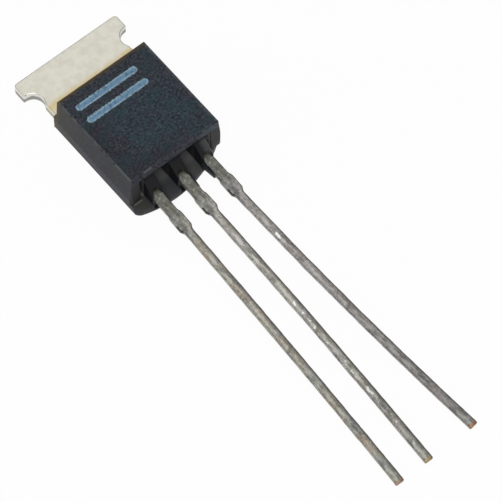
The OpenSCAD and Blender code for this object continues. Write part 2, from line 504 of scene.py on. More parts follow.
@dataclass(frozen=True)
class GrainyFace:
    """The moulding's front: dark grain, teal over its middle, dim and violet in one corner."""

    z: Range = (4.31, 4.37)
    dark: Colour = (0.006, 0.009, 0.013)
    light: Colour = (0.052, 0.062, 0.076)
    violet: Tint = Tint((0.032, 0.024, 0.044), Patches(2.4, 0.46, 0.64, (17.0, 5.0, 3.0)), 0.5)
    teal: Tint = Tint((0.016, 0.040, 0.048), Patches(0.9, 0.46, 0.64, (31.0, 5.0, 3.0)), 0.5)
    middle: Zone = Zone(0.9, x=(-2.2, 3.4), y=(-3.2, 1.4))
    middle_shade: Colour = (0.93, 1.14, 1.15)
    corner_shade: Colour = (0.86, 0.76, 0.79)
    corner_foot_x: Range = (1.4, -0.6)
    corner_foot_y: Range = (-2.8, -4.2)
    corner_edge_x: Range = (-2.4, -4.0)
    corner_edge_y: Range = (2.6, 0.2)

    def mask(self, surface: Surface) -> Socket:
        """Masks the front face."""
        return surface.graph.ease(surface.at(Axis.Z), *self.z)

    def colour(self, surface: Surface, grain: Socket) -> Socket:
        """Colours the face.

        Args:
            surface: The moulding's surface.
            grain: The mask of the pale grains.

        Returns:
            The face's colour.
        """
        colour = surface.graph.mix(grain, self.dark, self.light)
        for tint in (self.violet, self.teal):
            colour = tint.over(surface, colour)
        return surface.graph.vector("MULTIPLY", colour, self._shade(surface))

    def _shade(self, surface: Surface) -> Socket:
        """Builds the wide drift of tone over the face.

        Args:
            surface: The moulding's surface.

        Returns:
            A colour to multiply the grain by.
        """
        graph = surface.graph
        x, y = surface.at(Axis.X), surface.at(Axis.Y)
        foot = graph.times(graph.ease(y, *self.corner_foot_y), graph.ease(x, *self.corner_foot_x))
        edge = graph.times(graph.ease(x, *self.corner_edge_x), graph.ease(y, *self.corner_edge_y))
        shade = graph.mix(self.middle.mask(surface), WHITE, self.middle_shade)
        return graph.mix(graph.greatest(foot, edge), shade, self.corner_shade)


@dataclass(frozen=True)
class SideWalls:
    """The moulding's smooth sides: paler towards the tab, violet towards the leads."""

    dark: Colour = (0.0125, 0.0135, 0.0120)
    light: Colour = (0.0190, 0.0200, 0.0180)
    clouds: Patches = Patches(0.8, 0.3, 0.7)
    violet: Tint = Tint((0.024, 0.018, 0.031), Patches(0.55, 0.44, 0.62, (11.0, 2.0, 6.0)), 0.7)
    olive: Tint = Tint((0.019, 0.022, 0.008), Patches(0.55, 0.44, 0.62, (23.0, 2.0, 6.0)), 0.7)
    tab_shade: Colour = (1.3, 1.25, 1.35)
    lead_shade: Colour = (0.58, 0.6, 1.18)
    shade_y: Range = (4.2, 0.0)

    def colour(self, surface: Surface) -> Socket:
        """Colours the sides.

        Args:
            surface: The moulding's surface.

        Returns:
            The sides' colour.
        """
        graph = surface.graph
        colour = graph.mix(self.clouds.mask(surface), self.dark, self.light)
        for tint in (self.violet, self.olive):
            colour = tint.over(surface, colour)
        shade = graph.mix(graph.ease(surface.at(Axis.Y), *self.shade_y), self.tab_shade, self.lead_shade)
        return graph.vector("MULTIPLY", colour, shade)


@dataclass(frozen=True)
class LeadEnd:
    """The end that the leads leave: its upright wall in a dark painted shade, and the flats of the recess
    and the lip in painted light, paler still deeper in the recess.
    """

    # wall and wall_left are painted shade; the flat colours are painted light
    wall: Colour = (0.016, 0.017, 0.016)
    wall_left: Colour = (0.022, 0.0235, 0.021)
    wall_facing: Range = (-0.4, -0.85)
    flat: Colour = (0.064, 0.067, 0.065)
    flat_middle: Colour = (0.044, 0.0465, 0.049)
    flat_left: Colour = (0.044, 0.046, 0.040)
    deep_flat_light: Colour = (0.10, 0.103, 0.10)
    flat_zone: Zone = Zone(0.04, z=(0.72, 0.98))
    flat_facing: Range = (0.6, 0.9)
    middle_x: Range = (0.4, -0.6)
    left_x: Range = (-3.0, -3.4)
    deep_light_y: Range = (-5.1, -3.6)

    def over(self, surface: Surface, below: Socket) -> Socket:
        """Lays the painted light of the flats and the painted shade of the end wall over the sides' colour.

        Args:
            surface: The moulding's surface.
            below: The sides' colour.

        Returns:
            The colour with both.
        """
        graph = surface.graph
        x, y = surface.at(Axis.X), surface.at(Axis.Y)
        left = graph.ease(x, *self.left_x)
        # painted light: flats that face up are much paler than the sides, paler still deeper in the recess
        flat = graph.mix(graph.ease(x, *self.middle_x), self.flat, self.flat_middle)
        flat = graph.mix(left, flat, self.flat_left)
        flat = graph.mix(graph.ease(y, *self.deep_light_y), flat, self.deep_flat_light)
        upward = graph.ease(surface.facing(Axis.Z), *self.flat_facing)
        colour = graph.mix(graph.times(self.flat_zone.mask(surface), upward), below, flat)
        # painted shade: walls that face the lead end get a dark tone of their own
        endward = graph.ease(surface.facing(Axis.Y), *self.wall_facing)
        return graph.mix(endward, colour, graph.mix(left, self.wall, self.wall_left))


@dataclass(frozen=True)
class ResinBleed:
    """Amber resin along the moulding's tab end, on top and on the sides."""

    colour: Colour = (0.085, 0.050, 0.008)
    y: Range = (4.15, 4.6)
    ragged_scale: float = 1.6
    drift: float = 0.45
    top_z: Range = (4.04, 4.24)
    top_share: float = 0.8
    side_facing: Range = (0.2, 0.6)
    side_share: float = 0.6

    def over(self, surface: Surface, below: Socket) -> Socket:
        """Lays the resin over a colour.

        Args:
            surface: The moulding's surface.
            below: The colour under the resin.

        Returns:
            The colour with the resin.
        """
        graph = surface.graph
        near = graph.ease(surface.ragged(Axis.Y, self.ragged_scale, self.drift), *self.y)
        top = graph.times(graph.ease(surface.at(Axis.Z), *self.top_z), self.top_share)
        sideways = graph.sum_of("ABSOLUTE", surface.facing(Axis.X))
        side = graph.times(graph.ease(sideways, *self.side_facing), self.side_share)
        return graph.mix(graph.times(near, graph.greatest(top, side)), below, self.colour)


@dataclass(frozen=True)
class RecessShadeAndLight:
    """Painted shade on the collars round the lead roots, and painted light deep in the recess, over its
    shade.
    """

    # painted shade on the collars round the lead roots, uneven in patches
    collar_shade: Colour = (0.009, 0.0085, 0.008)
    collar_shade_share: float = 0.5
    collar_shade_zone: Zone = Zone(0.12, y=(-5.9, -3.4), z=(0.2, 3.62))
    collar_shade_patches: Patches = Patches(1.3, 0.3, 0.62)
    collar_shade_thin: float = 0.7
    lead_xs: tuple[float, ...] = (-2.58, -0.04, 2.5)
    collar_half: float = 0.62
    collar_feather: float = 0.1
    # painted light in the recess, strongest in its corners, over the shade there
    recess_light: Colour = (0.15, 0.155, 0.148)
    recess_light_left: Colour = (0.16, 0.165, 0.157)
    recess_light_right: Colour = (0.32, 0.325, 0.31)
    recess_light_zone: Zone = Zone(0.1, y=(-5.9, -3.4), z=(0.2, 3.62))
    left_x: Range = (-3.0, -3.4)
    right_x: Range = (2.9, 3.1)
    recess_half: float = 3.6
    corner_x: Range = (3.0, 3.2)
    deep_light_y: Range = (-4.65, -4.5)
    deep_share: float = 0.15
    lit_collar_x: Range = (2.2, 2.8)
    lit_collar_share: float = 0.35

    def over(self, surface: Surface, below: Socket) -> Socket:
        """Lays the painted shade and the painted light over a colour.

        Args:
            surface: The moulding's surface.
            below: The colour under them.

        Returns:
            The colour with both.
        """
        graph = surface.graph
        x = surface.at(Axis.X)
        # painted shade on the collars
        colour = graph.mix(graph.times(self._collar_shaded(surface), self.collar_shade_share), below, self.collar_shade)
        # painted light in the recess
        recess_light = graph.mix(graph.ease(x, *self.left_x), self.recess_light, self.recess_light_left)
        recess_light = graph.mix(graph.ease(x, *self.right_x), recess_light, self.recess_light_right)
        return graph.mix(self._recess_lit(surface), colour, recess_light)

    def _collar_shaded(self, surface: Surface) -> Socket:
        """Masks the collars and slots round the lead roots, where the painted shade lies.

        Args:
            surface: The moulding's surface.

        Returns:
            The mask.
        """
        graph = surface.graph
        spans = [(x - self.collar_half, x + self.collar_half) for x in self.lead_xs]
        collars = [Zone(self.collar_feather, x=span).mask(surface) for span in spans]
        uneven = graph.blend(self.collar_shade_patches.mask(surface), self.collar_shade_thin, 1.0)
        return graph.times(self.collar_shade_zone.mask(surface), graph.greatest(*collars), uneven)

    def _recess_lit(self, surface: Surface) -> Socket:
        """Masks the painted light: strong in both corners of the recess, weak between them and on one
        collar.

        Args:
            surface: The moulding's surface.

        Returns:
            The mask.
        """
        graph = surface.graph
        x = surface.at(Axis.X)
        outer = graph.sum_of("ABSOLUTE", x)
        corners = graph.blend(graph.ease(outer, *self.corner_x), self.deep_share, 1.0)
        deep = graph.times(graph.ease(surface.at(Axis.Y), *self.deep_light_y), corners)
        collar = graph.times(graph.ease(x, *self.lit_collar_x), self.lit_collar_share)
        inside = graph.sum_of("LESS_THAN", outer, self.recess_half)
        return graph.times(self.recess_light_zone.mask(surface), inside, graph.greatest(deep, collar))


@dataclass(frozen=True)
class EdgeHighlights:
    """Painted highlights on the edges round the front and in one crease of the lip, and pale patches along
    the front's right side.
    """

    # the colour of the painted highlights, also used for the pale patches along the right side
    colour: Colour = (0.11, 0.112, 0.118)
    edge_facing: Range = (0.35, 0.93)
    edge_feather: float = 0.06
    edge_z: Range = (4.14, 4.29)
    edge_patches: Patches = Patches(1.3, 0.4, 0.58)
    edge_shares: Range = (0.16, 0.62)
    lintel_share: float = 0.15
    highlight_spots: tuple[Zone, ...] = (
        Zone(0.1, x=(-4.8, -4.0), y=(-4.4, -2.6)),
        Zone(0.1, x=(-3.05, -2.3), y=(-4.9, -4.3)),
    )
    highlight_spot_share: float = 0.7
    right_patch_x: Range = (3.95, 4.3)
    right_patches: Patches = Patches(1.9, 0.46, 0.6)
    right_patch_shares: Range = (0.12, 0.55)
    crease: Zone = Zone(0.05, x=(-4.3, -3.5), y=(-4.92, -4.7), z=(0.8, 1.0))
    crease_highlight: Colour = (0.12, 0.122, 0.115)

    def over(self, surface: Surface, below: Socket, front: Socket, lintel: Socket) -> Socket:
        """Lays the painted highlights and the pale patches over a colour.

        Args:
            surface: The moulding's surface.
            below: The colour under them.
            front: The mask of the front face.
            lintel: The mask of the lintel over the recess.

        Returns:
            The colour with them.
        """
        graph = surface.graph
        # paler patches along the front's right side
        right_pale = graph.blend(self.right_patches.mask(surface), *self.right_patch_shares)
        right_pale = graph.times(right_pale, graph.ease(surface.at(Axis.X), *self.right_patch_x), front)
        # painted highlight along one crease of the lip
        colour = graph.mix(self.crease.mask(surface), below, self.crease_highlight)
        # painted highlights on the edges round the front
        colour = graph.mix(self._edges(surface, lintel), colour, self.colour)
        return graph.mix(right_pale, colour, self.colour)

    def _edges(self, surface: Surface, lintel: Socket) -> Socket:
        """Masks the painted highlights on the edges round the front face, which face half up.

        Args:
            surface: The moulding's surface.
            lintel: The mask of the lintel, whose edge gets little painted highlight.

        Returns:
            The mask.
        """
        graph = surface.graph
        tilted = surface.band(surface.facing(Axis.Z), self.edge_facing, self.edge_feather)
        high = graph.ease(surface.at(Axis.Z), *self.edge_z)
        highlighted = graph.blend(self.edge_patches.mask(surface), *self.edge_shares)
        highlighted = graph.times(highlighted, graph.blend(lintel, 1.0, self.lintel_share))
        highlight_spots = [graph.times(highlight_spot.mask(surface), self.highlight_spot_share) for highlight_spot in self.highlight_spots]
        return graph.times(tilted, high, graph.greatest(highlighted, *highlight_spots))


@dataclass(frozen=True)
class Stripe:
    """One plain stripe of marking ink, in millimetres on the front face."""

    x: float
    y: float
    length: float
    width: float

    def depth(self, surface: Surface) -> Socket:
        """Gives the depth inside the stripe.

        Args:
            surface: The moulding's surface.

        Returns:
            The depth in millimetres, negative outside the stripe.
        """
        inputs = {"Point": surface.point, "Centre": (self.x, self.y, 0.0)}
        inputs |= {"Half length": self.length / 2, "Half width": self.width / 2}
        return surface.graph.effect(surface.effects.stripe, inputs)


@dataclass(frozen=True)
class WornInk:
    """Two plain stripes of pale blue ink, with ragged edges, paler rims and worn spots."""

    colour: Colour = (0.13, 0.24, 0.36)
    rim_colour: Colour = (0.24, 0.37, 0.46)
    stripes: tuple[Stripe, ...] = (Stripe(-0.6, 3.1, 6.0, 0.62), Stripe(-0.6, 1.7, 6.0, 0.62))
    ragged_scale: float = 5.0
    drift: float = 0.3
    solid_depth: Range = (-0.03, 0.05)
    rim_depth: Range = (0.2, 0.08)
    wear: Patches = Patches(3.2, 0.32, 0.52)
    worn_share: float = 0.4
    thickness: float = 0.006

    def cover(self, surface: Surface, front: Socket) -> tuple[Socket, Socket]:
        """Builds the ink.

        Args:
            surface: The moulding's surface.
            front: The mask of the front face.

        Returns:
            The mask of the ink and its colour.
        """
        graph = surface.graph
        depth = graph.greatest(*(stripe.depth(surface) for stripe in self.stripes))
        depth = graph.sum_of("ADD", depth, surface.wander(self.ragged_scale, self.drift))
        kept = graph.blend(self.wear.mask(surface), self.worn_share, 1.0)
        mask = graph.times(graph.ease(depth, *self.solid_depth), front, kept)
        return mask, graph.mix(graph.ease(depth, *self.rim_depth), self.colour, self.rim_colour)


@dataclass(frozen=True)
class MouldedEpoxy(Finish):
    """Dark matte moulding compound with a grainy front, painted light and shade on its lead end and edges,
    and two worn ink stripes.
    """

    name: str = "moulded epoxy"
    metallic: float = 0.0
    specular: float = 0.22
    face: GrainyFace = GrainyFace()
    sides: SideWalls = SideWalls()
    lead_end: LeadEnd = LeadEnd()
    resin: ResinBleed = ResinBleed()
    recess_shade_and_light: RecessShadeAndLight = RecessShadeAndLight()
    edge_highlights: EdgeHighlights = EdgeHighlights()
    ink: WornInk = WornInk()
    grain: Patches = Patches(4.8, 0.34, 0.7)
    lintel_z: Range = (3.48, 3.58)
    lintel_y: Range = (-4.51, -4.55)
    # painted light: the lintel's colour is brightened so that it looks as lit as the front
    lintel_light_gain: float = 1.4
    face_roughness: Range = (0.55, 0.72)
    side_roughness: Range = (0.5, 0.58)
    relief: Relief = Relief(4.8, 0.006, 0.003)
    side_relief_share: float = 0.25

    def layers(self, surface: Surface) -> Layers:
        """Builds the face, the sides and the lead end with its painted light and shade, then resin, the
        recess's painted shade and light, painted edge highlights and ink over them.

        Args:
            surface: The moulding's surface.

        Returns:
            The sockets that the shader reads.
        """
        graph = surface.graph
        front, lintel = self.face.mask(surface), self._lintel(surface)
        grain = self.grain.mask(surface)
        face = self.face.colour(surface, grain)
        colour = self.lead_end.over(surface, self.sides.colour(surface))
        # painted light: the lintel takes the front's colour, made brighter
        colour = graph.mix(lintel, colour, graph.scale(face, self.lintel_light_gain))
        colour = graph.mix(front, colour, face)
        for layer in (self.resin, self.recess_shade_and_light):
            colour = layer.over(surface, colour)
        colour = self.edge_highlights.over(surface, colour, front, lintel)
        inked, ink = self.ink.cover(surface, front)
        colour = graph.mix(inked, colour, ink)
        side_roughness = graph.blend(grain, *self.side_roughness)
        roughness = graph.blend(front, side_roughness, graph.blend(grain, *self.face_roughness))
        grainy = graph.blend(graph.greatest(front, lintel), self.side_relief_share, 1.0)
        height = graph.times(self.relief.height(surface), grainy)
        height = graph.sum_of("ADD", height, graph.times(inked, self.ink.thickness))
        return Layers(colour, roughness, height)

    def _lintel(self, surface: Surface) -> Socket:
        """Masks the narrow end wall above the recess, which is as grainy as the front."""
        high = surface.graph.ease(surface.at(Axis.Z), *self.lintel_z)
        return surface.graph.times(high, surface.graph.ease(surface.at(Axis.Y), *self.lintel_y))


@dataclass(frozen=True)
class NickelPlate(Finish):
    """Warm dull nickel with a faint mottle, torn where it was sheared and warm along the moulding."""

    name: str = "nickel plate"
    metallic: float = 1.0
    specular: float = 0.5
    deep: Colour = (0.65, 0.63, 0.54)
    pale: Colour = (0.79, 0.77, 0.68)
    mottle: Patches = Patches(1.6, 0.3, 0.7)
    pits: Specks = Specks(2.4, 0.2, 0.2)
    pit_share: float = 0.25
    burnished: Colour = (0.74, 0.73, 0.69)
    edge_facing: Range = (0.8, 0.4)
    torn: Colour = (0.30, 0.29, 0.265)
    torn_z: Range = (1.15, 0.95)
    torn_scale: float = 2.5
    torn_drift: float = 0.4
    warm: Colour = (0.66, 0.50, 0.19)
    warm_y: Range = (6.45, 5.9)
    warm_scale: float = 1.1
    warm_drift: float = 0.5
    warm_facing: Range = (-0.3, 0.3)
    warm_shares: Range = (0.7, 0.3)
    faded_y: Range = (6.0, 5.3)
    roughness: Range = (0.34, 0.44)
    relief: Relief = Relief(2.0, 0.006, 0.0016)

    def layers(self, surface: Surface) -> Layers:
        """Builds the mottle, the sheared edges and the warm line along the moulding.

        Args:
            surface: The tab's surface.

        Returns:
            The sockets that the shader reads.
        """
        graph = surface.graph
        mottle = self.mottle.mask(surface)
        colour = graph.mix(mottle, self.deep, self.pale)
        colour = graph.mix(graph.times(self.pits.mask(surface), self.pit_share), colour, self.warm)
        flat = graph.sum_of("ABSOLUTE", surface.facing(Axis.Z))
        low = surface.ragged(Axis.Z, self.torn_scale, self.torn_drift)
        sheared = graph.mix(graph.ease(low, *self.torn_z), self.burnished, self.torn)
        colour = graph.mix(graph.ease(flat, *self.edge_facing), colour, sheared)
        colour = graph.mix(self._bled(surface), colour, self.warm)
        return Layers(colour, graph.blend(mottle, *self.roughness), self.relief.height(surface))

    def _bled(self, surface: Surface) -> Socket:
        """Masks the film of resin that bled over the tab, next to the moulding.

        Args:
            surface: The tab's surface.

        Returns:
            The mask.
        """
        graph = surface.graph
        reach = surface.ragged(Axis.Y, self.warm_scale, self.warm_drift)
        upper = graph.ease(surface.facing(Axis.Z), *self.warm_facing)
        strength = graph.blend(graph.ease(reach, *self.faded_y), *self.warm_shares)
        return graph.times(graph.ease(reach, *self.warm_y), upper, strength)


@dataclass(frozen=True)
class CentreLine:
    """The middle of one lead seen from the front, in millimetres: a lean and a bow."""

    root_x: float
    lean: float
    bow: float
    root_y: float = -5.2
    length: float = 30.5

    def straighten(self, surface: Surface) -> Surface:
        """Measures x from the lead's middle, so that patterns follow its bow.

        Args:
            surface: The lead's surface.

        Returns:
            The same surface, with its points beside a straight lead.
        """
        graph = surface.graph
        run = graph.sum_of("SUBTRACT", self.root_y, surface.at(Axis.Y))
        share = graph.greatest(graph.sum_of("DIVIDE", run, self.length), 0.0)
        shift = graph.sum_of("ADD", graph.times(share, self.lean), graph.times(share, share, self.bow))
        middle = graph.add("ShaderNodeCombineXYZ", {"X": graph.sum_of("ADD", shift, self.root_x)})
        return surface.moved(graph.vector("SUBTRACT", surface.point, middle.outputs[0]))


@dataclass(frozen=True)
class SolderDip(Finish):
    """Dull, gritty dipped tin on a lead, with a painted highlight on its ridge, painted shade on its far
    flank and on the swelling's shoulder, painted glints, and bare copper at the clipped tip.
    """

    line: CentreLine
    name: str = "tinned lead"
    metallic: float = 0.85
    specular: float = 0.4
    draw: Triple = (1.0, 0.3, 1.0)
    dull: Colour = (0.19, 0.187, 0.17)
    bright: Colour = (0.44, 0.435, 0.41)
    tone: Patches = Patches(3.4, 0.36, 0.62)
    olive: Colour = (0.31, 0.305, 0.21)
    olive_patches: Patches = Patches(1.7, 0.44, 0.62)
    olive_share: float = 0.5
    rosy: Colour = (0.37, 0.32, 0.29)
    rosy_patches: Patches = Patches(1.7, 0.44, 0.62, (9.0, 21.0, 4.0))
    rosy_share: float = 0.5
    root_tint_share: float = 0.35
    # a darker, greener tone near the moulding
    root_dark: Colour = (0.125, 0.127, 0.10)
    root_dark_zone: Zone = Zone(1.2, y=(-8.2, 0.0))
    root_dark_share: float = 0.76
    pit: Colour = (0.13, 0.13, 0.115)
    grit: Patches = Patches(4.0, 0.42, 0.58)
    grit_shares: Range = (0.42, 0.4)
    # pale frost specks, and the painted highlight along the ridge
    frost_and_highlight: Colour = (0.52, 0.515, 0.485)
    frost: Patches = Patches(3.8, 0.5, 0.68, (3.0, 7.0, 11.0))
    frost_share: float = 0.42
    ridge_x: float = -0.12
    ridge_reach: Range = (0.2, 0.03)
    ridge_highlight_share: float = 0.5
    # painted shade on the flank that faces away from the light
    flank_shade: Colour = (0.095, 0.093, 0.083)
    flank_x: Range = (0.02, 0.28)
    flank_share: float = 0.75
    away_facing: Range = (0.05, 0.5)
    away_share: float = 0.5
    glint: Colour = (0.9, 0.9, 0.88)
    sparks: Patches = Patches(2.4, 0.56, 0.64, (5.0, 2.0, 8.0))
    glint_y: Range = (-34.0, -12.0)
    glint_feather: float = 0.4
    glint_share: float = 0.3
    wire_y: Range = (-9.4, -10.2)
    fade: Range = (1.0, 1.0)
    fade_y: Range = (-9.8, -35.5)
    # painted shade on the swelling's shoulder, which faces left
    shoulder_shade: Colour = (0.045, 0.040, 0.034)
    shoulder_zone: Zone = Zone(0.06, y=(-9.45, -8.7))
    shoulder_facing: Range = (-0.15, -0.55)
    copper: Colour = (0.42, 0.22, 0.10)
    copper_dark: Colour = (0.17, 0.115, 0.075)
    copper_patches: Patches = Patches(2.2, 0.4, 0.6)
    tip_y: Range = (-35.42, -35.58)
    tip_share: float = 0.9
    roughness: Range = (0.52, 0.36)
    relief: Relief = Relief(1.8, 0.03, 0.011)

    def layers(self, surface: Surface) -> Layers:
        """Builds the tin with its painted ridge highlight, flank shade and glints, then the painted shade
        on the swelling's shoulder and the copper tip.

        Args:
            surface: The lead's surface.

        Returns:
            The sockets that the shader reads.
        """
        graph = surface.graph
        lead = self.line.straighten(surface)
        drawn = lead.moved(graph.vector("MULTIPLY", lead.point, self.draw))
        along = lead.at(Axis.Y)
        tone = self.tone.mask(drawn)
        wire = graph.ease(along, *self.wire_y)
        colour = self._tin(lead, drawn, tone, wire)
        colour = self._round(lead, colour, tone, wire)
        fade = graph.blend(graph.ease(along, *self.fade_y), *self.fade)
        colour = graph.scale(colour, graph.blend(wire, 1.0, fade))
        # painted shade on the swelling's shoulder
        leftward = graph.ease(lead.facing(Axis.X), *self.shoulder_facing)
        colour = graph.mix(graph.times(leftward, self.shoulder_zone.mask(lead)), colour, self.shoulder_shade)
        copper = graph.mix(self.copper_patches.mask(lead), self.copper_dark, self.copper)
        tip = graph.times(graph.ease(along, *self.tip_y), self.tip_share)
        colour = graph.mix(tip, colour, copper)
        return Layers(colour, graph.blend(tone, *self.roughness), self.relief.height(drawn))

    def _tin(self, lead: Surface, drawn: Surface, tone: Socket, wire: Socket) -> Socket:
        """Colours the tin: streaks and tints, a darker, greener stretch near the moulding, dark grit and
        pale frost.

        Args:
            lead: The straightened lead.
            drawn: The same, with its patterns drawn out along the lead.
            tone: The mask of the bright streaks.
            wire: The mask of the lead past its swelling.

        Returns:
            The tin's colour.
        """
        graph = lead.graph
        colour = graph.mix(tone, self.dull, self.bright)
        thin = graph.blend(wire, self.root_tint_share, 1.0)
        colour = Tint(self.olive, self.olive_patches, self.olive_share).over(drawn, colour, thin)
        colour = Tint(self.rosy, self.rosy_patches, self.rosy_share).over(drawn, colour, thin)
        root_dark = graph.times(self.root_dark_zone.mask(lead), self.root_dark_share)
        colour = graph.mix(root_dark, colour, self.root_dark)
        grit = graph.times(self.grit.mask(lead), graph.blend(wire, *self.grit_shares))
        colour = graph.mix(grit, colour, self.pit)
        return Tint(self.frost_and_highlight, self.frost, self.frost_share).over(lead, colour)

    def _round(self, lead: Surface, below: Socket, tone: Socket, wire: Socket) -> Socket:
        """Lays a painted highlight on the ridge, painted shade on the far flank and a few painted glints
        over the tin.

        Args:
            lead: The straightened lead.
            below: The tin's colour.
            tone: The mask of the bright streaks.
            wire: The mask of the lead past its swelling.

        Returns:
            The colour with all three.
        """
        graph = lead.graph
        across = lead.at(Axis.X)
        off = graph.sum_of("ABSOLUTE", graph.sum_of("SUBTRACT", across, self.ridge_x))
        ridge = graph.times(graph.ease(off, *self.ridge_reach), wire)
        # painted highlight along the lead's ridge
        colour = graph.mix(graph.times(ridge, tone, self.ridge_highlight_share), below, self.frost_and_highlight)
        # painted shade on the flank away from the light
        away = graph.ease(lead.facing(Axis.X), *self.away_facing)
        flank = graph.times(wire, graph.ease(across, *self.flank_x), self.flank_share)
        colour = graph.mix(graph.blend(away, flank, self.away_share), colour, self.flank_shade)
        stretch = Zone(self.glint_feather, y=self.glint_y).mask(lead)
        glints = graph.times(self.sparks.mask(lead), stretch, ridge, self.glint_share)
        return graph.mix(glints, colour, self.glint)


@dataclass(frozen=True)
class PartDipped(Finish):
    """A nickel tab whose own lead was dipped in tin."""

    nickel: NickelPlate
    dip: SolderDip
    name: str = "dipped nickel"
    metallic: float = 0.95
    specular: float = 0.45
    dip_y: Range = (-2.8, -3.2)

    def layers(self, surface: Surface) -> Layers:
        """Mixes both platings where the lead leaves the moulding.

        Args:
            surface: The surface of the tab and its lead.

        Returns:
            The sockets that the shader reads.
        """
        graph = surface.graph
        plate, tin = self.nickel.layers(surface), self.dip.layers(surface)
        dipped = graph.ease(surface.at(Axis.Y), *self.dip_y)
        return Layers(
            graph.mix(dipped, plate.colour, tin.colour),
            graph.blend(dipped, plate.roughness, tin.roughness),
            graph.blend(dipped, plate.height, tin.height),
        )


@dataclass(frozen=True)
class Clouded(Finish):
    """A plain inner material whose tone drifts a little over the surface."""

    name: str
    metallic: float
    specular: float
    deep: Colour
    pale: Colour
    roughness: Range
    clouds: Patches
    relief: Relief

    def layers(self, surface: Surface) -> Layers:
        """Builds the drifting tone.

        Args:
            surface: The inner piece's surface.

        Returns:
            The sockets that the shader reads.
        """
        graph = surface.graph
        tone = self.clouds.mask(surface)
        colour = graph.mix(tone, self.deep, self.pale)
        return Layers(colour, graph.blend(tone, *self.roughness), self.relief.height(surface))


SILICON = Clouded(
    name="sawn silicon",
    metallic=0.3,
    specular=0.5,
    deep=(0.06, 0.065, 0.08),
    pale=(0.10, 0.11, 0.13),
    roughness=(0.15, 0.3),
    clouds=Patches(2.0, 0.3, 0.7),
    relief=Relief(2.0, 0.001, 0.00025),
)
DIE_SOLDER = Clouded(
    name="die solder",
    metallic=0.9,
    specular=0.5,
    deep=(0.30, 0.30, 0.31),
    pale=(0.46, 0.46, 0.47),
    roughness=(0.3, 0.5),
    clouds=Patches(1.5, 0.3, 0.7),
    relief=Relief(1.5, 0.01, 0.0025),
)
BOND_WIRE = Clouded(
    name="bond wire",
    metallic=1.0,
    specular=0.5,
    deep=(0.70, 0.70, 0.71),
    pale=(0.82, 0.82, 0.83),
    roughness=(0.25, 0.4),
    clouds=Patches(3.0, 0.3, 0.7),
    relief=Relief(3.0, 0.004, 0.001),
)


@dataclass
class Rounding:
    """How the sharp edges of a solid are broken."""

    radius: float = 0.04 * MM
    segments: int = 2
    sharp_angle: float = math.radians(28.0)
    weld_gap: float = 0.001 * MM

    def apply(self, piece: bpy.types.Object) -> None:
        """Adds live modifiers that join the solid's faces and round its edges.

        Args:
            piece: The solid's object, whose own mesh stays as it is.
        """
        weld = piece.modifiers.new("joined faces", "WELD")
        weld.merge_threshold = self.weld_gap
        edges = piece.modifiers.new("broken edges", "BEVEL")
        edges.width = self.radius
        edges.segments = self.segments
        edges.limit_method = "ANGLE"
        edges.angle_limit = self.sharp_angle
        edges.use_clamp_overlap = False
        shading = piece.modifiers.new("even shading", "WEIGHTED_NORMAL")
        shading.keep_sharp = True


@dataclass
class SolderSkin:
    """How the dipped metal is softened: melted edges, and lumps of tin on the leads."""

    voxel: float = 0.06 * MM
    smoothing_rounds: int = 9
    smoothing_share: float = 0.5
    lump_height: float = 0.045 * MM
    lumps_per_mm: float = 0.9
    lump_draw: Triple = (1.0, 0.6, 1.0)
    root_y: Range = (-5.0 * MM, -5.6 * MM)

    def apply(self, piece: bpy.types.Object) -> None:
        """Adds live modifiers that melt the edges and raise the lumps.

        Args:
            piece: The solid's object, whose own mesh stays as it is.
        """
        melted = piece.modifiers.new("melted edges", "REMESH")
        melted.mode = "VOXEL"
        melted.voxel_size = self.voxel
        melted.use_smooth_shade = True
        smooth = piece.modifiers.new("smooth tin", "SMOOTH")
        smooth.factor = self.smoothing_share
        smooth.iterations = self.smoothing_rounds
        lumps = piece.modifiers.new("lumps of tin", "NODES")
        lumps.node_group = self._lumps()

    def _lumps(self) -> bpy.types.NodeTree:
        """Makes the geometry nodes that push the tinned surface in and out.

        Returns:
            The node tree, which leaves everything inside the moulding alone.
        """
        tree = bpy.data.node_groups.new("Lumps of tin", "GeometryNodeTree")
        graph = Graph(tree)
        for way in ("INPUT", "OUTPUT"):
            tree.interface.new_socket(name="Geometry", in_out=way, socket_type="NodeSocketGeometry")
        place = graph.add("GeometryNodeInputPosition").outputs[0]
        point = graph.vector("MULTIPLY", place, tuple(share / MM for share in self.lump_draw))
        noise = graph.noise(point, self.lumps_per_mm, detail=2.5)
        swell = graph.sum_of("SUBTRACT", noise, NOISE_MIDDLE)
        outside = graph.ease(graph.along(place, Axis.Y), *self.root_y)
        push = graph.times(swell, outside, self.lump_height / NOISE_MIDDLE)
        offset = graph.scale(graph.add("GeometryNodeInputNormal").outputs[0], push)
        entry = graph.add("NodeGroupInput").outputs[0]
        moved = graph.add("GeometryNodeSetPosition", {"Geometry": entry, "Offset": offset})
        graph.add("NodeGroupOutput", {0: moved.outputs[0]})
        return tree


def dress(piece: bpy.types.Object, material: bpy.types.Material) -> None:
    """Gives a solid its finish.

    Args:
        piece: The solid's object.
        material: The finish's material.
    """
    piece.data.materials.clear()
    piece.data.materials.append(material)
    LOG.info("%s: %s", piece.name, material.name)


@dataclass
class MouldedBody:
    """The epoxy moulding."""

    rounding: Rounding = field(default_factory=Rounding)
    finish: MouldedEpoxy = MouldedEpoxy()

    def build(self, nodes: Mapping[str, bpy.types.Object], effects: Effects) -> None:
        """Rounds and dresses the moulding.

        Args:
            nodes: The solids by name.
            effects: The shared groups.
        """
        body = nodes[Node.BODY.value]
        self.rounding.apply(body)
        dress(body, self.finish.material(effects))


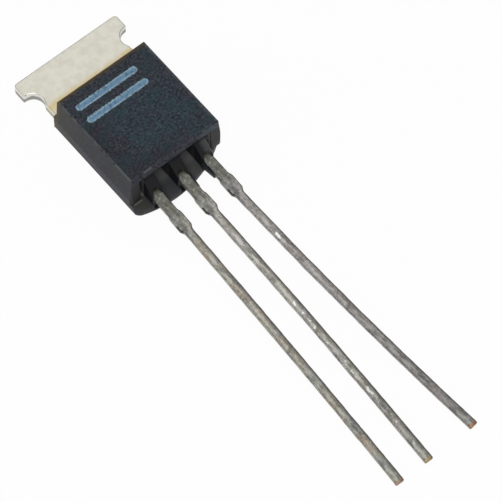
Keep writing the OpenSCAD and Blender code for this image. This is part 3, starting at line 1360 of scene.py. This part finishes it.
@dataclass
class LeadFrame:
    """The tab with its lead, and the two loose leads."""

    skin: SolderSkin = field(default_factory=SolderSkin)
    emitter_finish: SolderDip = SolderDip(
        CentreLine(root_x=-2.584, lean=-0.402, bow=-0.4225),
        name="tinned emitter lead",
        dull=(0.176, 0.177, 0.165),
        bright=(0.38, 0.382, 0.36),
        rosy=(0.40, 0.315, 0.225),
        flank_shade=(0.105, 0.105, 0.118),
        olive_share=0.7,
        rosy_share=0.65,
        fade=(1.1, 1.02),
        glint_share=0.15,
        copper=(0.36, 0.24, 0.18),
    )
    base_finish: SolderDip = SolderDip(
        CentreLine(root_x=-0.046, lean=0.1467, bow=-0.64),
        name="tinned base lead",
        olive_share=0.4,
        glint_share=0.85,
        glint_y=(-34.0, -18.0),
        ridge_highlight_share=0.8,
        fade=(1.2, 0.95),
        copper=(0.42, 0.31, 0.16),
    )
    frame_finish: PartDipped = PartDipped(
        NickelPlate(),
        SolderDip(
            CentreLine(root_x=2.48, lean=0.1023, bow=1.411),
            dull=(0.185, 0.178, 0.174),
            bright=(0.39, 0.375, 0.37),
            rosy=(0.35, 0.305, 0.295),
            olive_share=0.15,
            rosy_share=0.75,
            flank_share=0.3,
            fade=(1.1, 0.82),
            glint_share=1.0,
            glint_y=(-14.8, -13.4),
        ),
    )

    def build(self, nodes: Mapping[str, bpy.types.Object], effects: Effects) -> None:
        """Softens and dresses the metal.

        Args:
            nodes: The solids by name.
            effects: The shared groups.
        """
        finishes = {
            Node.FRAME: self.frame_finish,
            Node.BASE: self.base_finish,
            Node.EMITTER: self.emitter_finish,
        }
        for node, finish in finishes.items():
            self.skin.apply(nodes[node.value])
            dress(nodes[node.value], finish.material(effects))


@dataclass
class ChipAssembly:
    """The chip, the solder under it and its two bond wires, all inside the moulding."""

    chip_finish: Clouded = SILICON
    solder_finish: Clouded = DIE_SOLDER
    wire_finish: Clouded = BOND_WIRE

    def build(self, nodes: Mapping[str, bpy.types.Object], effects: Effects) -> None:
        """Dresses the hidden pieces.

        Args:
            nodes: The solids by name.
            effects: The shared groups.
        """
        wire = self.wire_finish.material(effects)
        dress(nodes[Node.CHIP.value], self.chip_finish.material(effects))
        dress(nodes[Node.DIE_SOLDER.value], self.solder_finish.material(effects))
        dress(nodes[Node.BASE_WIRE.value], wire)
        dress(nodes[Node.EMITTER_WIRE.value], wire)


@dataclass(frozen=True)
class Softbox:
    """A square area lamp that faces the part."""

    name: str
    place: Vector
    side: float
    watts: float

    def build(self) -> bpy.types.Object:
        """Makes the lamp.

        Returns:
            The lamp's object.
        """
        data = bpy.data.lights.new(self.name, "AREA")
        data.shape = "SQUARE"
        data.size = self.side
        data.energy = self.watts
        lamp = bpy.data.objects.new(self.name, data)
        lamp.location = self.place
        lamp.rotation_euler = (-self.place).to_track_quat("-Z", "Y").to_euler()
        bpy.context.scene.collection.objects.link(lamp)
        return lamp


@dataclass
class Studio:
    """The pale floor, the lamps, the white surroundings and the camera."""

    floor_side: float = 8.0
    floor_drop: float = 0.03 * MM
    floor_colour: Colour = (0.90, 0.90, 0.90)
    floor_glow: float = 0.94
    sky_light: float = 0.3
    lens: float = 243.1
    sensor: float = 36.0
    clip: Range = (0.01, 10.0)
    camera_place: Vector = field(default_factory=lambda: Vector((-78.335, -104.383, 235.13)) * MM)
    camera_turn: Triple = (27.107, -0.643, -39.643)
    softboxes: tuple[Softbox, ...] = (
        Softbox("camera softbox", Vector((-0.17, -0.22, 0.54)), 0.3, 1.9),
        Softbox("back softbox", Vector((0.14, 0.2, 0.5)), 0.5, 0.6),
        Softbox("left softbox", Vector((-0.445, 0.17, 0.15)), 0.25, 0.3),
    )

    def build(self) -> None:
        """Sets up the whole studio."""
        self._floor()
        self._surroundings()
        for softbox in self.softboxes:
            LOG.info("lamp: %s", softbox.build().name)
        self._camera()
        bpy.context.scene.view_settings.view_transform = "Standard"

    def _floor(self) -> None:
        """Lays a plain floor under the part."""
        shape = bmesh.new()
        bmesh.ops.create_grid(shape, x_segments=1, y_segments=1, size=self.floor_side / 2)
        bmesh.ops.translate(shape, verts=shape.verts, vec=(0.0, 0.0, -self.floor_drop))
        mesh = bpy.data.meshes.new("studio floor")
        shape.to_mesh(mesh)
        shape.free()
        mesh.materials.append(self._floor_material())
        floor = bpy.data.objects.new("studio floor", mesh)
        bpy.context.scene.collection.objects.link(floor)

    def _floor_material(self) -> bpy.types.Material:
        """Makes a matte floor that looks white, also in gloss and through glass, and keeps a faint shadow.

        Returns:
            The material.
        """
        material = bpy.data.materials.new("studio floor")
        material.use_nodes = True
        graph = Graph(material.node_tree)
        path = graph.add("ShaderNodeLightPath").outputs
        rays = [path[f"Is {kind} Ray"] for kind in ("Camera", "Glossy", "Transmission")]
        share = graph.times(graph.greatest(*rays), self.floor_glow)
        matte = graph.add("ShaderNodeBsdfDiffuse", {"Color": (*self.floor_colour, 1.0)})
        glow = graph.add("ShaderNodeEmission")
        both = graph.add("ShaderNodeMixShader", {0: share, 1: matte.outputs[0], 2: glow.outputs[0]})
        graph.add("ShaderNodeOutputMaterial", {"Surface": both.outputs[0]})
        return material

    def _surroundings(self) -> None:
        """Surrounds the part with one plain soft light."""
        world = bpy.data.worlds.new("plain studio")
        world.use_nodes = True
        graph = Graph(world.node_tree)
        sky = graph.add("ShaderNodeBackground", {"Color": (*WHITE, 1.0), "Strength": self.sky_light})
        graph.add("ShaderNodeOutputWorld", {"Surface": sky.outputs[0]})
        bpy.context.scene.world = world

    def _camera(self) -> None:
        """Places the camera at the photograph's viewing angle."""
        data = bpy.data.cameras.new("portrait camera")
        data.lens = self.lens
        data.sensor_width = self.sensor
        data.clip_start, data.clip_end = self.clip
        camera = bpy.data.objects.new("portrait camera", data)
        camera.location = self.camera_place
        camera.rotation_euler = [math.radians(turn) for turn in self.camera_turn]
        bpy.context.scene.collection.objects.link(camera)
        bpy.context.scene.camera = camera


def main() -> None:
    """Builds the portrait, sub-assembly by sub-assembly."""
    logging.basicConfig(level=logging.INFO, format="%(name)s %(message)s")
    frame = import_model()
    effects = Effects()
    for assembly in (MouldedBody(), LeadFrame(), ChipAssembly()):
        assembly.build(frame["nodes"], effects)
    Studio().build()


if __name__ == "__main__":
    main()
